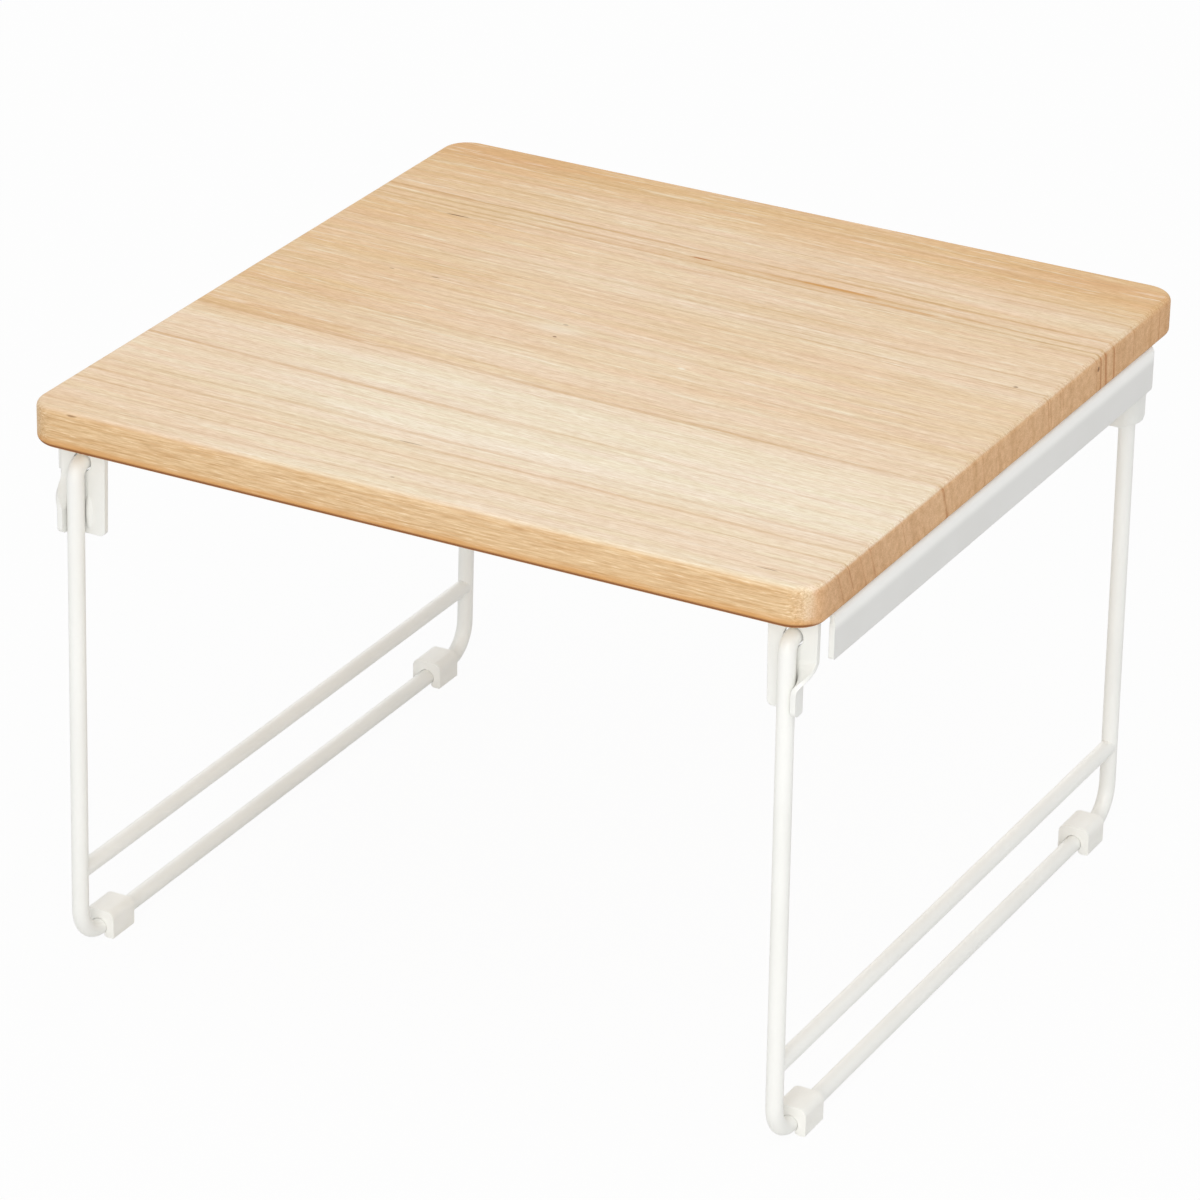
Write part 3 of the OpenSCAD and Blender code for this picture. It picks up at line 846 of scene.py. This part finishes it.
@dataclass(frozen=True)
class FinishSet:
    """The finishes of the whole riser, each built once."""

    wood: Material
    sheet: Material
    wire: Material
    plastic: Material
    zinc: Material

    @classmethod
    def build(cls) -> "FinishSet":
        """Builds every finish.

        Returns:
            The set.
        """
        return cls(
            wood=WoodBench(WoodFinish()).build(),
            sheet=PowderCoat(
                # The rail gets a painted highlight on its bend and painted shade below it.
                "white_coat_on_sheet", srgb(240, 240, 236), srgb(232, 232, 227), rail=True,
                edge_mm=0.3).material(),
            wire=PowderCoat(
                "white_coat_on_wire", srgb(245, 245, 241), srgb(238, 238, 233)).material(),
            plastic=SmoothFinish(
                "warm_white_plastic", srgb(247, 246, 241), srgb(242, 241, 235),
                Pattern((0.25, 0.08, 0.25), 3.0, 0.5, 3.3, (0.4, 0.7), 0.6),
                Pattern((3.2, 3.2, 3.2), 2.0, 0.6, 6.1), relief=(0.03, 0.5), dull=(0.12, 0.46),
                specular=0.45, rough_grain=True).material(),
            zinc=SmoothFinish(
                "zinc_plate", srgb(196, 198, 200), srgb(176, 180, 190),
                Pattern((0.5, 0.5, 0.5), 3.0, 0.6, 2.0, (0.4, 0.65)),
                Pattern((4.0, 4.0, 4.0), 2.0, 0.6, 5.0), relief=(0.01, 0.4), dull=(0.2, 0.24),
                metallic=1.0).material())


def dress(node: str, finish: Material) -> None:
    """Gives a solid of the frame its finish.

    Args:
        node: Name of the solid.
        finish: Material for all its slots.
    """
    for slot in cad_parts[node].material_slots:
        slot.material = finish
    log.info("%s is dressed in %s", node, finish.name)


def finish_piece(shape: Shape, name: str, finish: Material, body: str,
                 node: str) -> None:
    """Makes an object of a shape drawn in millimetres, and hands it to the frame.

    Args:
        shape: The shape, which is used up.
        name: Name of the piece.
        finish: Its material.
        body: Body of the frame that it moves with.
        node: Solid whose place it takes.
    """
    bmesh.ops.scale(shape, vec=(MM, MM, MM), verts=shape.verts)
    bmesh.ops.remove_doubles(shape, verts=shape.verts, dist=MERGE_MM * MM)
    bmesh.ops.recalc_face_normals(shape, faces=shape.faces)
    for face in shape.faces:
        face.smooth = True
    mesh = bpy.data.meshes.new(name)
    shape.to_mesh(mesh)
    shape.free()
    mesh.materials.append(finish)
    mesh.set_sharp_from_angle(angle=math.radians(SHARP_DEGREES))
    piece = bpy.data.objects.new(name, mesh)
    bpy.context.scene.collection.objects.link(piece)
    even = piece.modifiers.new("even_shading", "WEIGHTED_NORMAL")
    even.keep_sharp = True
    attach(piece, body)
    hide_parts(node)
    log.info("%s has %d faces and rides on %s", name, len(mesh.polygons), body)


@dataclass
class BoardTop:
    """The wooden board."""

    finishes: FinishSet
    node: str = "board"

    def build(self) -> None:
        """Dresses the board."""
        dress(self.node, self.finishes.wood)


@dataclass
class SidePart:
    """A part on one side of the riser."""

    finishes: FinishSet
    side: Side


@dataclass
class DrawnPart(SidePart):
    """A part that is drawn anew, in millimetres, in place of a plain solid."""

    shape: Shape = field(init=False, default_factory=bmesh.new)


@dataclass
class PanScrews(DrawnPart):
    """The cross-recessed pan-head screws that hold one bracket, in millimetres.

    Each is drawn point up, with the plane under its head at z = 0.

    Attributes:
        dome_rings: Radii of the rings of faces between the cross and the rim.
        rim: Width of the head's rounded rim.
        rim_drop: Height of the rounded rim.
        under_rim: Width and height of the bevel under the rim.
        thread_sink: How deep the thread's foot lies in the core.
        thread_half: Half the height of the thread's foot.
        thread_lead: How far above the plain part the thread begins.
        free_turns: Turns left out before the point.
        taper_height: Height at which the point begins.
        recess_reach: How far the cross goes out from the middle.
        recess_half: Half the width of an arm of the cross.
        recess_floor: Size of the cross at its floor, as a share of its mouth.
    """

    count: int = 3
    head_radius: float = 3.5
    head_height: float = 2.1
    dome_radius: float = 7.0
    dome_rings: tuple[float, ...] = (2.55, 3.0)
    rim: float = 0.16
    rim_drop: float = 0.2
    under_rim: float = 0.12
    core_radius: float = 1.2
    thread_radius: float = 1.72
    thread_sink: float = 0.1
    thread_half: float = 0.42
    thread_lead: float = 0.45
    pitch: float = 1.5
    turn_steps: int = 20
    free_turns: float = 0.6
    plain_height: float = 2.2
    taper_height: float = 8.4
    length: float = 10.9
    recess_reach: float = 1.95
    recess_half: float = 0.42
    recess_depth: float = 1.3
    recess_floor: float = 0.7
    segments: int = 48

    def dome(self, radius: float) -> float:
        """Gives the height of the head's domed face at a radius."""
        middle = self.dome_radius - self.head_height
        return middle - math.sqrt(self.dome_radius ** 2 - radius ** 2)

    def build(self) -> None:
        """Builds the screws in place of the plain ones."""
        node = f"{self.side.value}_screws"
        low, high = (Vector(corner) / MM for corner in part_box(node))
        shape = self.shape
        self.turned_body()
        self.thread()
        first = low.y + self.head_radius
        step = (high.y - low.y - 2 * self.head_radius) / (self.count - 1)
        drawn = [*shape.verts, *shape.edges, *shape.faces]
        for number in range(self.count):
            copy = bmesh.ops.duplicate(shape, geom=drawn)["geom"]
            place = Vector(((low.x + high.x) / 2, first + number * step, low.z + self.head_height))
            bmesh.ops.translate(shape, vec=place, verts=points_in(copy))
        bmesh.ops.delete(shape, geom=points_in(drawn), context="VERTS")
        finish_piece(
            shape, f"{self.side.value}_pan_screws", self.finishes.zinc, "top", node)

    def turned_body(self) -> None:
        """Turns the head, core and point, and presses the cross into the head."""
        shape = self.shape
        edge = self.head_radius - self.rim
        profile = [(radius, self.dome(radius)) for radius in (*self.dome_rings, edge)] + [
            (self.head_radius, self.dome(edge) + self.rim_drop),
            (self.head_radius, -self.under_rim), (self.head_radius - self.under_rim, 0.0),
            (self.core_radius, 0.0), (self.core_radius, self.taper_height), (0.0, self.length)]
        points = [shape.verts.new((radius, 0.0, height)) for radius, height in profile]
        rows = [shape.edges.new(pair) for pair in zip(points, points[1:])]
        bmesh.ops.spin(
            shape, geom=points + rows, cent=(0, 0, 0), axis=(0, 0, 1), angle=math.tau,
            steps=self.segments, use_merge=True)
        bmesh.ops.remove_doubles(shape, verts=shape.verts, dist=MERGE_MM)
        rim = [line for line in shape.edges if line.is_boundary]
        cross = self.cross_outline()
        bmesh.ops.bridge_loops(shape, edges=rim + cross)
        walls = bmesh.ops.extrude_edge_only(shape, edges=cross)["geom"]
        floor = self.recess_depth - self.head_height
        for point in points_in(walls):
            x, y, _ = self.recess_floor * point.co
            point.co = (x, y, floor)
        floor_lines = [part for part in walls if isinstance(part, Edge) and part.is_boundary]
        bmesh.ops.holes_fill(shape, edges=floor_lines, sides=0)

    def cross_outline(self) -> list[Edge]:
        """Draws the outline of the cross on the dome.

        Returns:
            The edges of the outline, as many as there are faces round the head.
        """
        shape = self.shape
        middle = bmesh.ops.create_grid(
            shape, x_segments=1, y_segments=1, size=self.recess_half)["verts"]
        square = middle[0].link_faces[0]
        faces = [square]
        for line in list(square.edges):
            outward = (line.verts[0].co + line.verts[1].co).normalized()
            arm = bmesh.ops.extrude_edge_only(shape, edges=[line])["geom"]
            bmesh.ops.translate(
                shape, vec=outward * (self.recess_reach - self.recess_half), verts=points_in(arm))
            faces += [part for part in arm if isinstance(part, bmesh.types.BMFace)]
        joined = bmesh.ops.dissolve_faces(shape, faces=faces)["region"][0]
        cuts = self.segments // len(joined.edges) - 1
        bmesh.ops.subdivide_edges(shape, edges=list(joined.edges), cuts=cuts)
        outline = list(joined.edges)
        bmesh.ops.delete(shape, geom=[joined], context="FACES_ONLY")
        for line in outline:
            for point in line.verts:
                point.co.z = self.dome(point.co.xy.length)
        return outline

    def thread(self) -> None:
        """Winds the thread round the core."""
        turns = (self.taper_height - self.plain_height) / self.pitch - self.free_turns
        steps = round(self.turn_steps * turns)
        root = self.core_radius - self.thread_sink
        start = self.plain_height + self.thread_lead
        section = [self.shape.verts.new(place) for place in (
            (root, 0.0, start - self.thread_half), (self.thread_radius, 0.0, start),
            (root, 0.0, start + self.thread_half))]
        face = self.shape.faces.new(section)
        bmesh.ops.spin(
            self.shape, geom=[*section, *face.edges, face], cent=(0, 0, 0), axis=(0, 0, 1),
            dvec=(0, 0, self.pitch * turns / steps), angle=math.tau * turns, steps=steps)


@dataclass
class HingeBracket(SidePart):
    """A pressed bracket with its screws."""

    def build(self) -> None:
        """Dresses the bracket and builds its screws."""
        dress(f"{self.side.value}_bracket", self.finishes.sheet)
        PanScrews(self.finishes, self.side).build()


@dataclass
class ClipFoot(DrawnPart):
    """A moulded foot that clips over the bottom wire of a leg, in millimetres.

    Its outer size comes from the solid that it stands for.

    Attributes:
        play: Room round the wire.
        mouth: Width between the two prongs.
        shoulder: Radius of the upper edges.
        tip: Radius of the outer lower edges.
        lead: Radius of the inner lower edges.
        soft: Radius of the edges round both ends.
        sharp_turn: Least turn of an edge that is softened, in radians.
    """

    end: End
    wire_radius: float = 3.05
    play: float = 0.1
    mouth: float = 4.2
    shoulder: float = 3.0
    tip: float = 0.6
    lead: float = 1.4
    soft: float = 0.5
    bore_steps: int = 22
    sharp_turn: float = 1.0

    def build(self) -> None:
        """Builds the foot in place of its plain solid."""
        node = f"foot_{self.end.value}_{self.side.value}"
        low, high = (Vector(corner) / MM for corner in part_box(node))
        wire_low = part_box(f"{self.side.value}_leg_wire")[0][2] / MM
        size = high - low
        half, inner = size.x / 2, self.mouth / 2
        shape = self.shape
        self.half_section(size, wire_low - low.z + self.wire_radius)
        bmesh.ops.mirror(
            shape, geom=[*shape.verts, *shape.edges, *shape.faces], axis="X", merge_dist=MERGE_MM)
        bmesh.ops.recalc_face_normals(shape, faces=shape.faces)
        drawn = bmesh.ops.extrude_face_region(shape, geom=list(shape.faces))["geom"]
        bmesh.ops.translate(shape, vec=(0.0, size.y, 0.0), verts=points_in(drawn))
        bmesh.ops.recalc_face_normals(shape, faces=shape.faces)
        for x, z, radius, segments in (
                (half, size.z, self.shoulder, 10), (half, 0.0, self.tip, 4),
                (inner, 0.0, self.lead, 6)):
            self.round_long(x, z, radius, segments)
        self.soften_ends(size.y)
        bmesh.ops.translate(shape, vec=((low.x + high.x) / 2, low.y, low.z), verts=shape.verts)
        finish_piece(
            shape, f"moulded_{node}", self.finishes.plastic, f"{self.side.value}_leg",
            node)

    def half_section(self, size: Vector, bore_z: float) -> None:
        """Draws the right half of the section, with the bore turned into it.

        Args:
            size: Width, length and height.
            bore_z: Height of the bore's middle.
        """
        shape, radius = self.shape, self.wire_radius + self.play
        half, inner = size.x / 2, self.mouth / 2
        outline = [shape.verts.new((x, 0.0, z)) for x, z in (
            (inner, 0.0), (half, 0.0), (half, size.z), (0.0, size.z), (0.0, bore_z + radius))]
        for pair in zip(outline, outline[1:]):
            shape.edges.new(pair)
        bore = bmesh.ops.spin(
            shape, geom=[outline[-1]], cent=(0, 0, bore_z), axis=(0, 1, 0),
            angle=math.pi - math.asin(inner / radius), steps=self.bore_steps)["geom_last"]
        shape.edges.new((points_in(bore)[0], outline[0]))
        bmesh.ops.contextual_create(shape, geom=list(shape.edges))

    def round_long(self, x: float, z: float, radius: float, segments: int) -> None:
        """Rounds the two long edges at one place of the section.

        Args:
            x: Distance of the edges from the middle.
            z: Their height.
            radius: Radius of the rounding.
            segments: Faces across it.
        """
        edges = [
            line for line in self.shape.edges
            if all(abs(abs(point.co.x) - x) < NEAR_MM and abs(point.co.z - z) < NEAR_MM
                   for point in line.verts)]
        self.bevel(edges, radius, segments, clamp_overlap=False)

    def soften_ends(self, length: float) -> None:
        """Rounds the outline of both ends.

        Args:
            length: Length of the foot.
        """
        edges = [
            line for line in self.shape.edges
            if len(line.link_faces) == 2 and line.calc_face_angle() > self.sharp_turn
            and any(all(abs(point.co.y - y) < NEAR_MM for point in line.verts)
                    for y in (0.0, length))]
        self.bevel(edges, self.soft, 3, clamp_overlap=True)
        bmesh.ops.triangulate(
            self.shape, faces=[face for face in self.shape.faces if len(face.verts) > 4])

    def bevel(self, edges: list[Edge], radius: float, segments: int, clamp_overlap: bool) -> None:
        """Rounds edges.

        Args:
            edges: Edges to round.
            radius: Radius of the rounding.
            segments: Faces across it.
            clamp_overlap: Stops it where two roundings meet.
        """
        bmesh.ops.bevel(
            self.shape, geom=edges, offset=radius, offset_type="OFFSET", segments=segments,
            profile=0.5, affect="EDGES", material=-1, clamp_overlap=clamp_overlap)


@dataclass
class WireLeg(SidePart):
    """A bent wire leg with its crossbar and feet."""

    def build(self) -> None:
        """Dresses the leg's steel and builds its feet."""
        for piece in ("leg_wire", "crossbar"):
            dress(f"{self.side.value}_{piece}", self.finishes.wire)
        for end in End:
            ClipFoot(self.finishes, self.side, end).build()


@dataclass(frozen=True)
class Lamp:
    """A soft square lamp that looks at a target, in metres and watts."""

    name: str
    place: tuple[float, float, float]
    size: float
    power: float
    target: tuple[float, float, float] = (0.0, 0.0, 0.1)

    def hang(self) -> None:
        """Hangs the lamp in the scene."""
        data = bpy.data.lights.new(self.name, "AREA")
        data.shape = "SQUARE"
        data.size = self.size
        data.energy = self.power
        lamp = bpy.data.objects.new(self.name, data)
        lamp.location = self.place
        view = Vector(self.place) - Vector(self.target)
        lamp.rotation_euler = view.to_track_quat("Z", "Y").to_euler()
        bpy.context.scene.collection.objects.link(lamp)


@dataclass
class Studio:
    """Floor, light and camera, with angles in radians.

    Attributes:
        azimuth: Camera's turn to the right of the front.
        elevation: Camera's height angle.
        roll: Camera's roll.
        offset: Board top's middle in the camera's right and up directions, in mm.
        distance: Distance to the board top's middle along the view, in mm.
        focal_px: Focal length in pixels of the frame.
        floor_glow: Share of plain white in the floor that the camera sees.
        world_level: Light from all round, where 1 is white.
    """

    azimuth: float = 0.4828
    elevation: float = 0.4405
    roll: float = 0.0223
    offset: Range = (6.59, 89.71)
    distance: float = 2012.25
    focal_px: float = 5733.92
    frame_px: float = 1200.0
    sensor_mm: float = 36.0
    clip: Range = (0.05, 50.0)
    board_top_mm: float = 214.0
    floor_radius: float = 9.0
    floor_colour: Colour = (0.75, 0.75, 0.745)
    floor_glow: float = 0.95
    world_level: float = 0.59
    lamps: tuple[Lamp, ...] = (
        Lamp("top_light", (0.45, -0.35, 2.2), 2.2, 12.5),
        Lamp("front_light", (0.75, -2.05, 1.0), 1.4, 21.5),
        Lamp("back_light", (-1.2, 1.9, 0.8), 1.6, 10.0))

    def build(self) -> None:
        """Builds the whole studio."""
        self.camera()
        self.floor()
        self.world()
        for lamp in self.lamps:
            lamp.hang()

    def camera(self) -> None:
        """Sets the camera where the photograph was taken from."""
        az, el, roll = self.azimuth, self.elevation, self.roll
        back = Vector((math.sin(az) * math.cos(el), -math.cos(az) * math.cos(el), math.sin(el)))
        level = Vector((math.cos(az), math.sin(az), 0.0))
        rise = back.cross(level)
        right = math.cos(roll) * level + math.sin(roll) * rise
        up = math.cos(roll) * rise - math.sin(roll) * level
        turn = Matrix((right, up, back)).transposed()
        target = Vector((*self.offset, -self.distance))
        place = turn @ -target + Vector((0.0, 0.0, self.board_top_mm))
        data = bpy.data.cameras.new("photo_camera")
        data.sensor_width = self.sensor_mm
        data.lens = self.focal_px * self.sensor_mm / self.frame_px
        data.clip_start, data.clip_end = self.clip
        camera = bpy.data.objects.new("photo_camera", data)
        camera.matrix_world = Matrix.Translation(place * MM) @ turn.to_4x4()
        bpy.context.scene.collection.objects.link(camera)
        bpy.context.scene.camera = camera

    def floor(self) -> None:
        """Lays a pale floor that keeps the riser's shadow."""
        mesh = bpy.data.meshes.new("studio_floor")
        shape = bmesh.new()
        bmesh.ops.create_circle(shape, cap_ends=True, radius=self.floor_radius, segments=96)
        shape.to_mesh(mesh)
        shape.free()
        mesh.materials.append(self.floor_material())
        floor = bpy.data.objects.new("studio_floor", mesh)
        bpy.context.scene.collection.objects.link(floor)

    def floor_material(self) -> Material:
        """Builds the floor's paper white, which is see-through from below.

        Returns:
            The material.
        """
        bench = ShaderBench("studio_paper")
        bench.set(Base_Color=(*self.floor_colour, 1.0), Roughness=0.9, Specular_IOR_Level=0.1)
        share = bench.times(bench.seen(), self.floor_glow)
        glow = bench.node("Emission", (1.0, 1.0, 1.0, 1.0), 1.0)
        paper = bench.node("MixShader", share, bench.shader.outputs[0], glow.outputs[0])
        below = bench.node("NewGeometry").outputs["Backfacing"]
        clear = bench.node("BsdfTransparent")
        one_sided = bench.node("MixShader", below, paper.outputs[0], clear.outputs[0])
        bench.plug(bench.output.inputs[0], one_sided.outputs[0])
        return bench.material

    def world(self) -> None:
        """Lights the riser softly from all round, before a white background."""
        world = bpy.data.worlds.new("studio_world")
        world.use_nodes = True
        bench = NodeBench(world.node_tree)
        level = bench.remap(bench.seen(), (0.0, 1.0), (self.world_level, 1.0), soft=False)
        sky = bench.node("Background", (1.0, 1.0, 1.0, 1.0), level)
        bench.node("OutputWorld", sky.outputs[0])
        bpy.context.scene.world = world


def main() -> None:
    """Builds the looks of the riser and reports each piece."""
    logging.basicConfig(level=logging.INFO, format="%(name)s: %(message)s")
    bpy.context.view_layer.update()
    bpy.context.scene.view_settings.view_transform = "Standard"
    Studio().build()
    finishes = FinishSet.build()
    BoardTop(finishes).build()
    for side in Side:
        HingeBracket(finishes, side).build()
        WireLeg(finishes, side).build()
    log.info("the riser is finished")


if __name__ == "__main__":
    main()
